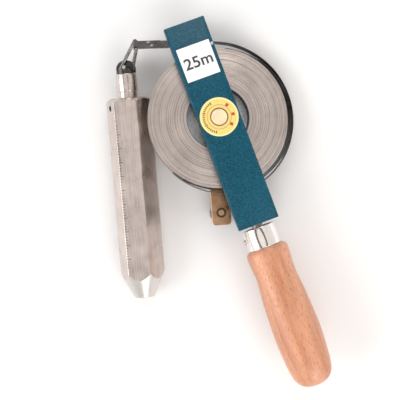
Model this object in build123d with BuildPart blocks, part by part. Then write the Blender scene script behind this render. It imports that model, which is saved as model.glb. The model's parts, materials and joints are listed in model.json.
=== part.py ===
from build123d import *
import os
from math import atan2, cos, degrees, radians, sin

# Dip tape: a 25 m steel tape on a hand-cranked reel, with a plumb bob on its end.
# It lies on a table as it is put down: the reel leans on its crank knob, on the low
# side of its frame and on its coil, and the bob lies on one of its six facets.
#
# Millimetres. The reel is built flat in its own frame: the axle is Z, the front is +Z,
# and the handle points along -Y. REEL then lays it down.
# The bob is built upright: its axis is Z, its tip's flat end is at Z = 0.
# The row's frame is: +Z up, the table at Z = 0, the handle towards -Y.

# ---- driving dimensions -------------------------------------------------------------

# frame
SHEET = 1.2             # cheek metal
CHEEK_W = 30.0          # front cheek, across
CHEEK_TOP = 70.7        # from the axle to the cheek's free end
CHEEK_END = 80.2        # from the axle to the handle end
FLANGE = 6.0            # depth of the cheeks' side flanges, outside
HALF = 12.0             # from the reel's middle plane to a cheek's outer face
STRAP_W = 16.0          # rear cheek, across
STRAP_T = 2.0           # rear cheek, a flat bar
BEND = 1.4              # outside radius of the cheeks' bends

# tape and drum
TAPE_W = 10.0
TAPE_T = 0.5            # the lead's thickness, thick enough to stand as a solid
COIL_R = 49.8
DRUM_R = 24.8
HUB_R = 22.1
PLATE_T = 1.2
AXLE_R = 5.6
SHAFT_R = 7.0
RUN = 0.05              # radial clearance of every running fit

# crank
CRANK_R = 67.0          # axle to knob spindle
CRANK_ANGLE = 17.0      # from -Y towards -X
ARM_W = 14.0
ARM_T = 2.2
ARM_GAP = 0.8
ARM_OVER = 9.0          # arm beyond the spindle
KNOB_R = 7.5
KNOB_H = 10.75

# handle
FERRULE_TOP = 82.6      # from the axle to the ferrule's rim
FERRULE_L = 15.0
FERRULE_R = 12.2
FERRULE_T = 0.8
GRIP_END = 120.0        # from the ferrule's rim to the grip's end

# tape lead: one slack turn round the coil, then straight out to the link
LEAD_R = 54.4
LEAD_DIR = 162.0        # direction of the straight tail
TAIL_L = 53.8
FOLD_L = 16.0
GUIDE_R = 1.2

# link, coupling and bob
LINK_WIRE = 2.5
LINK_WIDE = 14.2
LINK_NARROW = 9.6
BOB_AF = 28.4           # across flats
BOB_L = 146.0           # hexagonal body
TIP_L = 14.0
TIP_R = 7.6
NECK_R = 5.0
NECK_L = 10.5
SLEEVE_R = 7.5
SLEEVE_GAP = 4.3        # sleeve's travel down to the shoulder
SLEEVE_L = 13.0
HEAD_L = 9.2
HEAD_R = 7.4
SLOT_W = 3.4
PIN_R = 1.3
PIN_UP = 4.4            # cross pin above the head's base

# how the reel lies
ROLL = 14.0             # right side down
PITCH = 3.7             # free end down
REEL_Z = 18.1           # axle centre above the table

REEL = Location((0, 0, REEL_Z), (-PITCH, ROLL, 0))

# the bob on the table: its head's cross pin, and the way its tip points
BOB_PIN = (-49.2, 58.2)
BOB_LEAN = 16.7         # tip turned from -Y towards -X

# ---- derived ------------------------------------------------------------------------

HALF_TAPE = TAPE_W / 2
ARM_FRONT = -(HALF + ARM_GAP)
ARM_BACK = ARM_FRONT - ARM_T
SPINDLE = (-CRANK_R * sin(radians(CRANK_ANGLE)), -CRANK_R * cos(radians(CRANK_ANGLE)))
KNOB_TOP = ARM_BACK - 0.5
KNOB_BOTTOM = KNOB_TOP - KNOB_H
BLOCK_TOP = 58.0

TAIL_A = LEAD_DIR - 90                      # where the tail leaves the slack turn
LEAVE = Vector(LEAD_R * cos(radians(TAIL_A)), LEAD_R * sin(radians(TAIL_A)))
TAIL = Vector(cos(radians(LEAD_DIR)), sin(radians(LEAD_DIR)))
TAIL_END = LEAVE + TAIL * TAIL_L

NECK_Z = BOB_L + NECK_L                     # joint of the neck and the head's shank
SLEEVE_Z = BOB_L + SLEEVE_GAP
HEAD_Z = SLEEVE_Z + SLEEVE_L + 0.1
PIN_Z = HEAD_Z + PIN_UP
HEX_R = BOB_AF / 2 / cos(radians(30))


def bob_location():
    """The bob on one facet, with its cross pin over BOB_PIN."""
    tip = Vector(-sin(radians(BOB_LEAN)), -cos(radians(BOB_LEAN)))
    pin = Vector(BOB_PIN[0], BOB_PIN[1], BOB_AF / 2)
    up_the_bob = Vector(-tip.X, -tip.Y, 0)
    place = Plane(origin=pin - up_the_bob * PIN_Z, x_dir=(0, 0, 1), z_dir=up_the_bob)
    return place.location


BOB = bob_location()
pieces = []


def finish(builder, label, place):
    """Label a piece and keep it with the place that it is written at."""
    builder.part.label = label
    pieces.append((builder, place))


# ---- frame --------------------------------------------------------------------------

SCREW_R = 2.0
SCREWS_Y = (-CHEEK_END + 5, -CHEEK_END + 16)
SPACER_Y = CHEEK_TOP - 4.0
RIVET_R = 1.6
GUIDE_AT = (13.5, 50.4)
FRONT_IN = HALF - SHEET                     # front cheek's inner face
REAR_IN = -HALF + STRAP_T                   # rear cheek's inner face
DEPTH = FRONT_IN - REAR_IN
MID_Z = (FRONT_IN + REAR_IN) / 2

with BuildPart() as front_cheek:
    with BuildSketch(Plane.XY.offset(HALF - FLANGE)):
        with Locations((0, (CHEEK_TOP - CHEEK_END) / 2)):
            Rectangle(CHEEK_W, CHEEK_TOP + CHEEK_END)
    extrude(amount=FLANGE)
    fillet(front_cheek.edges().filter_by(Axis.Y).group_by(Axis.Z)[-1], BEND)
    with BuildSketch(Plane.XY.offset(HALF - FLANGE)):
        with Locations((0, (CHEEK_TOP - CHEEK_END) / 2)):
            Rectangle(CHEEK_W - 2 * SHEET, CHEEK_TOP + CHEEK_END)
    extrude(amount=FLANGE - SHEET, mode=Mode.SUBTRACT)
    with BuildSketch(Plane.XY.offset(HALF - FLANGE)):
        Circle(AXLE_R + 2.0)
        with Locations(*[(0, y) for y in SCREWS_Y]):
            Circle(SCREW_R)
        with Locations((0, SPACER_Y)):
            Circle(RIVET_R)
        with Locations(GUIDE_AT):
            Circle(GUIDE_R)
    extrude(amount=FLANGE, mode=Mode.SUBTRACT)
finish(front_cheek, "front_cheek", REEL)

with BuildPart() as rear_cheek:
    with BuildSketch(Plane.XY.offset(-HALF)):
        with Locations((0, (CHEEK_TOP - CHEEK_END) / 2)):
            RectangleRounded(STRAP_W, CHEEK_TOP + CHEEK_END, 2.0)
        Circle(AXLE_R + 2.0, mode=Mode.SUBTRACT)
        with Locations(*[(0, y) for y in SCREWS_Y]):
            Circle(SCREW_R, mode=Mode.SUBTRACT)
        with Locations((0, SPACER_Y)):
            Circle(RIVET_R, mode=Mode.SUBTRACT)
    extrude(amount=STRAP_T)
finish(rear_cheek, "rear_cheek", REEL)

# the block that joins the cheeks and holds the handle's tang
TANG_R = 4.0
TANG_IN = 16.0
with BuildPart() as end_block:
    with Locations((0, -(CHEEK_END + BLOCK_TOP) / 2, MID_Z)):
        Box(STRAP_W, CHEEK_END - BLOCK_TOP, DEPTH)
    with BuildSketch(Plane.XZ.offset(CHEEK_END)):
        Circle(TANG_R)
    extrude(amount=-TANG_IN, mode=Mode.SUBTRACT)
    for y in SCREWS_Y:
        with Locations((0, y, FRONT_IN - 2.5), (0, y, REAR_IN + 2.5)):
            Cylinder(SCREW_R, 5.0, mode=Mode.SUBTRACT)
    chamfer(end_block.edges().filter_by(Axis.Z).filter_by(lambda e: abs(e.center().X) > 7), 0.6)
finish(end_block, "end_block", REEL)

# the screws of the front cheek end flush under the paint, those of the rear cheek
# end flush too, so that the crank's spindle passes over them
with BuildPart() as cheek_screws:
    for y in SCREWS_Y:
        with Locations((0, y, HALF - (5.0 + SHEET) / 2)):
            Cylinder(SCREW_R, 5.0 + SHEET)
        with Locations((0, y, -HALF + (5.0 + STRAP_T) / 2)):
            Cylinder(SCREW_R, 5.0 + STRAP_T)
finish(cheek_screws, "cheek_screws", REEL)

# the spacer that holds the free ends of the cheeks apart, clear of the tail
with BuildPart() as top_spacer:
    with Locations((0, SPACER_Y, MID_Z)):
        Cylinder(2.8, DEPTH)
        Cylinder(RIVET_R, DEPTH, mode=Mode.SUBTRACT)
finish(top_spacer, "top_spacer", REEL)

with BuildPart() as spacer_rivet:
    with Locations((0, SPACER_Y, 0)):
        Cylinder(RIVET_R, 2 * HALF)
finish(spacer_rivet, "spacer_rivet", REEL)

# a polished pin beside the coil that holds the lead off it where it turns outwards;
# its end shows in the front cheek
with BuildPart() as guide_pin:
    with Locations((GUIDE_AT[0], GUIDE_AT[1], (HALF - 6.0) / 2)):
        Cylinder(GUIDE_R, HALF + 6.4)
    fillet(guide_pin.edges().group_by(Axis.Z)[-1], 0.5)
finish(guide_pin, "guide_pin", REEL)

# bushes: a collar inside the cheek and a spigot through it
COLLAR = 2.4
for name, inner, outer in (("front_bush", FRONT_IN, HALF), ("rear_bush", REAR_IN, -HALF)):
    side = 1 if outer > 0 else -1
    with BuildPart() as bush:
        with Locations((0, 0, (inner + outer) / 2)):
            Cylinder(AXLE_R + 2.0, abs(outer - inner))
        with Locations((0, 0, inner - side * COLLAR / 2)):
            Cylinder(AXLE_R + 4.0, COLLAR)
        with Locations((0, 0, inner)):
            Cylinder(AXLE_R + RUN, 2 * FLANGE, mode=Mode.SUBTRACT)
    finish(bush, name, REEL)

# ---- drum ---------------------------------------------------------------------------

AXLE_TIP = HALF + 0.9
NUT_H = 1.6             # a thin nut, so that it clears the table
SQUARE = 8.0
with BuildPart() as axle:
    with BuildSketch(Plane.XY.offset(-HALF - 0.4)):
        Circle(AXLE_R)
    extrude(amount=AXLE_TIP + HALF + 0.4)
    chamfer(axle.edges().sort_by(Axis.Z)[-1], 0.4)
    with BuildSketch(Plane.XY.offset(REAR_IN + COLLAR + 0.1)):
        Circle(SHAFT_R)
    extrude(amount=DEPTH - 2 * COLLAR - 0.2)
    with BuildSketch(Plane.XY.offset(-HALF_TAPE + PLATE_T)):
        Circle(15.0)
    extrude(amount=1.6)
    with BuildSketch(Plane.XY.offset(ARM_BACK)):
        Rectangle(SQUARE, SQUARE)
    extrude(amount=-HALF - 0.4 - ARM_BACK)
    with BuildSketch(Plane.XY.offset(ARM_BACK - NUT_H)):
        Circle(3.0)
    extrude(amount=NUT_H)
finish(axle, "axle", REEL)

with BuildPart() as drum_plate:
    with BuildSketch(Plane.XY.offset(-HALF_TAPE)):
        Circle(DRUM_R)
        Circle(SHAFT_R, mode=Mode.SUBTRACT)
        with PolarLocations(11.0, 4, start_angle=45):
            Circle(1.2, mode=Mode.SUBTRACT)
    extrude(amount=PLATE_T)
finish(drum_plate, "drum_plate", REEL)

with BuildPart() as drum_rivets:
    with BuildSketch(Plane.XY.offset(-HALF_TAPE)):
        with PolarLocations(11.0, 4, start_angle=45):
            Circle(1.2)
    extrude(amount=PLATE_T)
finish(drum_rivets, "drum_rivets", REEL)

with BuildPart() as drum_hub:
    with BuildSketch(Plane.XY.offset(-HALF_TAPE + PLATE_T)):
        Circle(DRUM_R)
        Circle(HUB_R, mode=Mode.SUBTRACT)
    extrude(amount=TAPE_W - PLATE_T)
    with BuildSketch(Plane.XZ.offset(HUB_R - 1)):
        Circle(1.5)
    extrude(amount=DRUM_R - HUB_R + 2, mode=Mode.SUBTRACT)
finish(drum_hub, "drum_hub", REEL)

# the screw that holds the tape's inner end to the hub
with BuildPart() as anchor_screw:
    with BuildSketch(Plane.XZ.offset(HUB_R)):
        Circle(1.5)
    extrude(amount=DRUM_R - HUB_R - 0.1)
    with BuildSketch(Plane.XZ.offset(HUB_R - 1.2)):
        Circle(2.6)
    extrude(amount=1.2 - 0.2)
    with BuildSketch(Plane.XZ.offset(HUB_R - 0.4)):
        Circle(1.5)
    extrude(amount=0.6)
finish(anchor_screw, "anchor_screw", REEL)

with BuildPart() as tape_coil:
    with BuildSketch(Plane.XY.offset(-HALF_TAPE)):
        Circle(COIL_R)
        Circle(DRUM_R, mode=Mode.SUBTRACT)
    extrude(amount=TAPE_W)
finish(tape_coil, "tape_coil", REEL)

# ---- crank --------------------------------------------------------------------------

CRANK = Plane(origin=(0, 0, ARM_BACK), x_dir=(cos(radians(CRANK_ANGLE)), -sin(radians(CRANK_ANGLE)), 0),
              z_dir=(0, 0, 1))
with BuildPart() as crank_arm:
    with BuildSketch(CRANK):
        with Locations((0, (9.0 - CRANK_R - ARM_OVER) / 2)):
            RectangleRounded(ARM_W, CRANK_R + ARM_OVER + 9.0, 3.0)
    extrude(amount=ARM_T)
    with BuildSketch(Plane.XY.offset(ARM_BACK)):
        Rectangle(SQUARE, SQUARE)
        with Locations(SPINDLE):
            Circle(2.4)
    extrude(amount=ARM_T, mode=Mode.SUBTRACT)
    chamfer(crank_arm.faces().sort_by(Axis.Z)[-1].outer_wire().edges(), 0.3)
finish(crank_arm, "crank_arm", REEL)

with BuildPart() as crank_nut:
    with BuildSketch(Plane.XY.offset(ARM_BACK)):
        RegularPolygon(6.0, 6)
        Circle(3.0, mode=Mode.SUBTRACT)
    extrude(amount=-NUT_H)
finish(crank_nut, "crank_nut", REEL)

with BuildPart() as knob_spindle:
    with BuildSketch(Plane.XY.offset(KNOB_BOTTOM + 1.6)):
        with Locations(SPINDLE):
            Circle(2.4)
    extrude(amount=ARM_FRONT + 0.5 - KNOB_BOTTOM - 1.6)
    chamfer(knob_spindle.edges().sort_by(Axis.Z)[-1], 0.3)
    with BuildSketch(Plane.XY.offset(KNOB_BOTTOM + 0.6)):
        with Locations(SPINDLE):
            Circle(3.8)
    extrude(amount=1.0)
finish(knob_spindle, "knob_spindle", REEL)

with BuildPart() as spindle_washer:
    with BuildSketch(Plane.XY.offset(ARM_FRONT)):
        with Locations(SPINDLE):
            Circle(3.6)
            Circle(2.4, mode=Mode.SUBTRACT)
    extrude(amount=0.5)
finish(spindle_washer, "spindle_washer", REEL)

with BuildPart() as crank_knob:
    with BuildSketch(Plane.XY.offset(KNOB_BOTTOM)):
        with Locations(SPINDLE):
            Circle(KNOB_R)
    extrude(amount=KNOB_H)
    fillet(crank_knob.edges().filter_by(GeomType.CIRCLE), 1.6)
    with Locations((SPINDLE[0], SPINDLE[1], KNOB_BOTTOM + KNOB_H / 2)):
        Cylinder(2.4 + RUN, KNOB_H, mode=Mode.SUBTRACT)
    with BuildSketch(Plane.XY.offset(KNOB_BOTTOM)):
        with Locations(SPINDLE):
            Circle(4.2)
    extrude(amount=1.9, mode=Mode.SUBTRACT)
finish(crank_knob, "crank_knob", REEL)

# ---- handle -------------------------------------------------------------------------

HANDLE = Plane(origin=(0, -FERRULE_TOP, 0), x_dir=(1, 0, 0), z_dir=(0, -1, 0))
SCREW_AT = 7.3
with BuildPart() as ferrule:
    with BuildSketch(HANDLE):
        Circle(FERRULE_R)
        Circle(FERRULE_R - FERRULE_T, mode=Mode.SUBTRACT)
    extrude(amount=FERRULE_L)
    fillet(ferrule.edges().group_by(Axis.Y)[-1], 0.25)
    with Locations(Location((-FERRULE_R, -FERRULE_TOP - SCREW_AT, 0), (0, 90, 0))):
        Cylinder(1.1, 6.0, mode=Mode.SUBTRACT)
finish(ferrule, "ferrule", REEL)

# a wooden spigot in the ferrule, a rounded shoulder, a waist, a swell and a round end
SPIGOT_R = FERRULE_R - FERRULE_T
OUTLINE = [(15.4, 20.0), (14.5, 36.0), (16.2, 57.0), (17.1, 80.0), (16.0, 98.0), (13.6, 112.0)]
with BuildPart() as handle_grip:
    with BuildSketch(Plane.YZ):
        with BuildLine():
            shoulder = Line((-FERRULE_TOP - FERRULE_L, 0), (-FERRULE_TOP - FERRULE_L, 12.4))
            bulge = Spline(shoulder @ 1, *[(-FERRULE_TOP - s, r) for r, s in OUTLINE],
                           (-FERRULE_TOP - GRIP_END, 0), tangents=((0, 1), (0, -1)),
                           tangent_scalars=(0.35, 0.9))
            Line(bulge @ 1, shoulder @ 0)
        make_face()
    revolve(axis=Axis.Y)
    with BuildSketch(HANDLE.offset(2.0)):
        Circle(SPIGOT_R)
    extrude(amount=FERRULE_L - 2.0 + 1.0)
    with BuildSketch(HANDLE.offset(2.0)):
        Circle(TANG_R)
    extrude(amount=40.0, mode=Mode.SUBTRACT)
    with Locations(Location((-SPIGOT_R, -FERRULE_TOP - SCREW_AT, 0), (0, 90, 0))):
        Cylinder(1.1, 12.0, mode=Mode.SUBTRACT)
finish(handle_grip, "handle_grip", REEL)

with BuildPart() as handle_tang:
    with BuildSketch(Plane.XZ.offset(CHEEK_END - TANG_IN)):
        Circle(TANG_R)
    extrude(amount=TANG_IN + FERRULE_TOP - CHEEK_END + 42.0)
    chamfer(handle_tang.edges().sort_by(Axis.Y)[0], 0.8)
finish(handle_tang, "handle_tang", REEL)

with BuildPart() as ferrule_screw:
    with Locations(Location((-FERRULE_R + 2.4, -FERRULE_TOP - SCREW_AT, 0), (0, 90, 0))):
        Cylinder(1.1, 7.2)
    with Locations(Location((-FERRULE_R - 0.7, -FERRULE_TOP - SCREW_AT, 0), (0, 90, 0))):
        Cylinder(1.9, 1.4)
    fillet(ferrule_screw.edges().sort_by(Axis.X)[0], 0.6)
finish(ferrule_screw, "ferrule_screw", REEL)

# ---- labels -------------------------------------------------------------------------

LABEL_Y = 41.8
LABEL = 24.4
DISC_R = 13.75
with BuildPart() as length_label:
    with BuildSketch(Plane.XY.offset(HALF)):
        with Locations((0, LABEL_Y)):
            Rectangle(LABEL, LABEL)
    extrude(amount=0.2)
finish(length_label, "length_label", REEL)

with BuildPart() as maker_disc:
    with BuildSketch(Plane.XY.offset(HALF)):
        Circle(DISC_R)
        Circle(AXLE_R + 0.3, mode=Mode.SUBTRACT)
    extrude(amount=0.3)
finish(maker_disc, "maker_disc", REEL)

# ---- tape lead ----------------------------------------------------------------------

# One slack turn lies round the coil. It starts against the coil at the lower left, runs
# round the bottom and the right, and leaves as the straight tail. SLACK is the turn's
# distance from the axle, as (degrees from +X, mm).
SLACK = ((-150, COIL_R + 0.9), (-112, 53.0), (-72, 55.3), (-36, 54.5), (5, 53.4), (40, 53.4))
PLAIN_L = 22.0          # tail that still stands on edge
TWIST_L = 12.0          # tail over which it turns to the link

turn_points = [(r * cos(radians(a)), r * sin(radians(a))) for a, r in SLACK]
begin = (-sin(radians(SLACK[0][0])), cos(radians(SLACK[0][0])))

# the tail turns until its end is square to the line from the link's bar to the pin
EYE_R = LINK_WIRE / 2 + 0.35
EYE_AT = EYE_R + TAPE_T                     # eye's centre, past the tail's end
BAR_AT = TAIL_END + TAIL * EYE_AT
ACROSS = Vector(-TAIL.Y, TAIL.X)
UP = Vector(0, 0, 1)


def in_row(vector):
    """A direction of the reel's frame, in the row's frame."""
    return (REEL * Location((vector.X, vector.Y, vector.Z))).position - REEL.position


BAR = (REEL * Location((BAR_AT.X, BAR_AT.Y, 0))).position
PIN = (BOB * Location((0, 0, PIN_Z))).position
REACH = PIN - BAR
TWIST = degrees(atan2(-REACH.dot(in_row(UP)), REACH.dot(in_row(ACROSS))))


def width_at(angle):
    """The tape's width direction after a turn towards the coil."""
    return UP * cos(radians(angle)) + ACROSS * sin(radians(angle))


def tail_plane(along, angle):
    """Across the tail: x through its thickness, y over its width."""
    width = width_at(angle)
    return Plane(origin=LEAVE + TAIL * along, x_dir=width.cross(TAIL), z_dir=TAIL)


TWIST_STEPS = 4
with BuildPart() as tape_lead:
    with BuildLine() as route:
        Spline(*turn_points, (LEAVE.X, LEAVE.Y), tangents=(begin, (TAIL.X, TAIL.Y)))
        Line((LEAVE.X, LEAVE.Y), (LEAVE.X + TAIL.X * PLAIN_L, LEAVE.Y + TAIL.Y * PLAIN_L))
    start = Plane(origin=route.line @ 0, x_dir=(0, 0, 1), z_dir=route.line % 0)
    with BuildSketch(start):
        Rectangle(TAPE_W, TAPE_T)
    sweep(path=route.line)
    for step in range(TWIST_STEPS + 1):
        with BuildSketch(tail_plane(PLAIN_L + TWIST_L * step / TWIST_STEPS, TWIST * step / TWIST_STEPS)):
            Rectangle(TAPE_T, TAPE_W)
    loft()
    with BuildSketch(tail_plane(PLAIN_L + TWIST_L, TWIST)):
        Rectangle(TAPE_T, TAPE_W)
    extrude(amount=TAIL_L - PLAIN_L - TWIST_L)
finish(tape_lead, "tape_lead", REEL)

# the end of the tail is folded back over a bar of the link and riveted to itself
WIDTH = width_at(TWIST)
FOLD = Plane(origin=TAIL_END, x_dir=TAIL, z_dir=WIDTH)
with BuildPart() as tape_fold:
    with BuildSketch(FOLD.offset(-HALF_TAPE)):
        with Locations((EYE_AT, 0)):
            Circle(EYE_R + TAPE_T)
        with Locations(((0.35 - FOLD_L) / 2, -TAPE_T)):
            Rectangle(FOLD_L + 0.35, TAPE_T)
        with Locations((EYE_AT, 0)):
            Circle(EYE_R, mode=Mode.SUBTRACT)
    extrude(amount=TAPE_W)
finish(tape_fold, "tape_fold", REEL)

RIVET_SPOTS = ((-7.0, -2.4), (-9.4, 2.0))
with BuildPart() as fold_rivets:
    for along, over in RIVET_SPOTS:
        spot = TAIL_END + TAIL * along + WIDTH * over + FOLD.y_dir * (-1.5 * TAPE_T)
        with BuildSketch(Plane(origin=spot, x_dir=TAIL, z_dir=FOLD.y_dir * -1)):
            Circle(1.3)
        extrude(amount=0.6)
finish(fold_rivets, "fold_rivets", REEL)

# ---- link ---------------------------------------------------------------------------

# A closed loop of steel wire with a half twist: its wide bar lies in the tape's fold,
# its narrow bar in the bob's fork, behind the cross pin.
BAR_DIR = in_row(WIDTH)
BOB_UP = Vector(sin(radians(BOB_LEAN)), cos(radians(BOB_LEAN)), 0)
NARROW_DIR = BOB_UP.cross(UP)
NARROW_AT = PIN - BOB_UP * (PIN_R + LINK_WIRE / 2 + 0.2)

with BuildPart() as hook_link:
    with BuildLine() as ring:
        FilletPolyline(
            BAR + BAR_DIR * (LINK_WIDE / 2),
            BAR - BAR_DIR * (LINK_WIDE / 2),
            NARROW_AT - NARROW_DIR * (LINK_NARROW / 2),
            NARROW_AT + NARROW_DIR * (LINK_NARROW / 2),
            radius=1.7,
            close=True,
        )
    for edge in ring.edges():
        with BuildSketch(Plane(origin=edge @ 0, z_dir=edge % 0)):
            Circle(LINK_WIRE / 2)
        sweep(path=edge)
finish(hook_link, "hook_link", Location())

# ---- bob ----------------------------------------------------------------------------

HOLE_Z = BOB_L - 7.0    # the blind hole in the upper left facet, from the tip
HOLE_R = 2.15
HOLE_DEEP = 6.0
SHOULDER_L = 6.0        # length of the rounded shoulder
SKIRT_IN = 6.45         # thin skirt on the shoulder that the sleeve slides over
SKIRT_OUT = 6.95
SKIRT_L = 4.8
BORE_R = 7.0            # sleeve's bore over the spring and the skirt
BORE_L = 7.0
with BuildPart() as bob_body:
    with BuildSketch(Plane.XY):
        RegularPolygon(HEX_R, 6, rotation=30)
    extrude(amount=BOB_L)
    with BuildSketch(Plane.XZ):
        with BuildLine():
            Polyline((0, 0), (TIP_R, 0), (HEX_R + 1.0, TIP_L * (HEX_R + 1.0 - TIP_R) / (BOB_AF / 2 - TIP_R)),
                     (HEX_R + 1.0, BOB_L - SHOULDER_L))
            ThreePointArc((HEX_R + 1.0, BOB_L - SHOULDER_L), (HEX_R - 1.4, BOB_L - 2.2), (HEX_R - 6.0, BOB_L))
            Polyline((HEX_R - 6.0, BOB_L), (0, BOB_L), (0, 0))
        make_face()
    revolve(axis=Axis.Z, mode=Mode.INTERSECT)
    with BuildSketch(Plane.XY.offset(BOB_L)):
        Circle(NECK_R)
    extrude(amount=NECK_L)
    with BuildSketch(Plane.XY.offset(BOB_L)):
        Circle(SKIRT_OUT)
        Circle(SKIRT_IN, mode=Mode.SUBTRACT)
    extrude(amount=SKIRT_L)
    side = Plane(origin=(0, 0, HOLE_Z), x_dir=(0, 0, 1),
                 z_dir=(cos(radians(60)), -sin(radians(60)), 0))
    with BuildSketch(side.offset(BOB_AF / 2 - HOLE_DEEP)):
        Circle(HOLE_R)
    extrude(amount=HOLE_DEEP + 4.0, mode=Mode.SUBTRACT)
finish(bob_body, "bob_body", BOB)

with BuildPart() as coupling_sleeve:
    with BuildSketch(Plane.XY.offset(SLEEVE_Z)):
        Circle(SLEEVE_R)
        Circle(NECK_R + RUN, mode=Mode.SUBTRACT)
    extrude(amount=SLEEVE_L)
    fillet(coupling_sleeve.edges().filter_by(GeomType.CIRCLE).sort_by(SortBy.RADIUS)[-2:], 0.6)
    with BuildSketch(Plane.XY.offset(SLEEVE_Z)):
        Circle(BORE_R)
    extrude(amount=BORE_L, mode=Mode.SUBTRACT)
finish(coupling_sleeve, "coupling_sleeve", BOB)

SPRING_WIRE = 0.8
with BuildPart() as sleeve_spring:
    with BuildLine() as turns:
        Helix(pitch=2.2, height=9.0, radius=NECK_R + 0.65, center=(0, 0, BOB_L + 0.7 + SPRING_WIRE / 2))
    with BuildSketch(Plane(origin=turns.line @ 0, z_dir=turns.line % 0)):
        Circle(SPRING_WIRE / 2)
    sweep(path=turns.line)
finish(sleeve_spring, "sleeve_spring", BOB)

with BuildPart() as stop_ring:
    with BuildSketch(Plane.XY.offset(BOB_L)):
        Circle(NECK_R + 1.1)
        Circle(NECK_R, mode=Mode.SUBTRACT)
    extrude(amount=0.6)
finish(stop_ring, "stop_ring", BOB)

# the fork head: a domed cap on a shank that stands on the neck inside the sleeve; its
# slot lies level and opens upwards, so that the link can rise to the tape
FLARE = 0.84            # slope of the slot's upper side
SLOT_Z = PIN_Z - 6.8      # clear of the link's bar when the bob swings
with BuildPart() as hook_head:
    with BuildSketch(Plane.XZ):
        with BuildLine():
            Polyline((0, NECK_Z), (NECK_R, NECK_Z), (NECK_R, HEAD_Z), (HEAD_R, HEAD_Z),
                     (HEAD_R, HEAD_Z + 3.6))
            ThreePointArc((HEAD_R, HEAD_Z + 3.6), (HEAD_R * 0.76, HEAD_Z + 7.4), (0, HEAD_Z + HEAD_L))
            Line((0, HEAD_Z + HEAD_L), (0, NECK_Z))
        make_face()
    revolve(axis=Axis.Z)
    with BuildSketch(Plane.XZ.offset(-HEAD_R - 1)):
        with BuildLine():
            Polyline((-SLOT_W / 2, SLOT_Z), (SLOT_W / 2, SLOT_Z), (SLOT_W / 2 + FLARE * 12, SLOT_Z + 12),
                     (-SLOT_W / 2, SLOT_Z + 12), close=True)
        make_face()
    extrude(amount=2 * HEAD_R + 2, mode=Mode.SUBTRACT)
    with Locations(Location((0, 0, PIN_Z), (0, 90, 0))):
        Cylinder(PIN_R, 2 * HEAD_R + 2, mode=Mode.SUBTRACT)
finish(hook_head, "hook_head", BOB)

with BuildPart() as cross_pin:
    with Locations(Location((0, 0, PIN_Z), (0, 90, 0))):
        Cylinder(PIN_R, 2 * HEAD_R - 0.6)
finish(cross_pin, "cross_pin", BOB)

# ---- write --------------------------------------------------------------------------

os.makedirs("parts", exist_ok=True)
placed = [(builder.part.label, place * builder.part) for builder, place in pieces]
boxes = [solid.bounding_box() for label, solid in placed]
middle_x = (min(b.min.X for b in boxes) + max(b.max.X for b in boxes)) / 2
middle_y = (min(b.min.Y for b in boxes) + max(b.max.Y for b in boxes)) / 2
TO_ORIGIN = Location((-middle_x, -middle_y, 0))
print("origin shift", -middle_x, -middle_y, "twist", TWIST, "reach", REACH.length)
for label, solid in placed:
    moved = TO_ORIGIN * solid
    moved.label = label
    export_step(moved, f"parts/{label}.step")
    print(f"{label:18s} z {moved.bounding_box().min.Z:7.2f} .. {moved.bounding_box().max.Z:7.2f}")
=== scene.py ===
import json
import math
import random

import bmesh
import bpy
from bpy.props import FloatProperty, FloatVectorProperty, IntProperty, PointerProperty
from bpy.types import Operator, Panel, PropertyGroup
from mathutils import Matrix, Vector


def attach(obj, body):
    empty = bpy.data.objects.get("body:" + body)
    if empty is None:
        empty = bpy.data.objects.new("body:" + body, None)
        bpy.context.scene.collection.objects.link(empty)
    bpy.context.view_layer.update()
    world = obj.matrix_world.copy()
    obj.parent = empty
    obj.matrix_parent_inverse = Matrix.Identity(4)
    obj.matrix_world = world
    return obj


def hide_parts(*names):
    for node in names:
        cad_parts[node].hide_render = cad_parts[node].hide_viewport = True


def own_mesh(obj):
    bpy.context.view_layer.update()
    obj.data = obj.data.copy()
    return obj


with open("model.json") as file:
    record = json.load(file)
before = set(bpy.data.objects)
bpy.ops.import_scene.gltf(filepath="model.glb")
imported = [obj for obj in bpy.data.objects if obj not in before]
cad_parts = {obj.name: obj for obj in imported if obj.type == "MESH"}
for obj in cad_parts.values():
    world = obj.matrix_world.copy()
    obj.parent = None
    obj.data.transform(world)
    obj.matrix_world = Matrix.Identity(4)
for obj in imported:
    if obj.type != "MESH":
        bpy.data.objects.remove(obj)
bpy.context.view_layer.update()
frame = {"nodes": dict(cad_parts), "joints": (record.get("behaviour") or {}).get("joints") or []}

bl_info = {
    "name": "Dip Tape",
    "version": (1, 0, 0),
    "blender": (4, 5, 0),
    "location": "3D View > Sidebar > Dip Tape",
    "description": "Builds the looks of a hand-cranked dip tape with its plumb bob",
    "category": "Object",
}

MM = 0.001
NODES = frame["nodes"]

# The reel's own frame: its axle is Z, its front is +Z and the handle points along -Y.
# The bob's own frame: its axis is Z from the tip up, and X points up from the table.
# Sizes are in millimetres, except on the stage, where they are in metres.

TAPE_WIDE = 10.0
TAPE_HEADING = 162.0            # degrees round the axle, the way the tail runs
EYE_BACK = 2.1                  # the tail ends this far before the link's bar
# the slack turn: degrees round the axle, and how far it stands off the coil
SLACK = ((-150, 0.6), (-131, 1.7), (-112, 3.2), (-92, 4.7), (-72, 5.5), (-54, 5.3), (-36, 4.7),
         (-15, 4.1), (5, 3.6), (23, 3.5), (40, 3.6), (56, 4.1))
SLACK_END = 72
LOOSE_TURNS = ((-140, 64, 2.1), (-128, 52, 3.4))    # first and last degree, and swell
TWIST_FROM, TWIST_L = 22.0, 12.0                    # where the tail twists

LINK_WIRE_R = 1.25
LINK_WIDE, LINK_NARROW = 7.1, 4.8                   # half the length of each end bar
LINK_ROUND = 1.9
LINK_REACH = 2.75                                   # from the cross pin to the narrow bar

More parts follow.
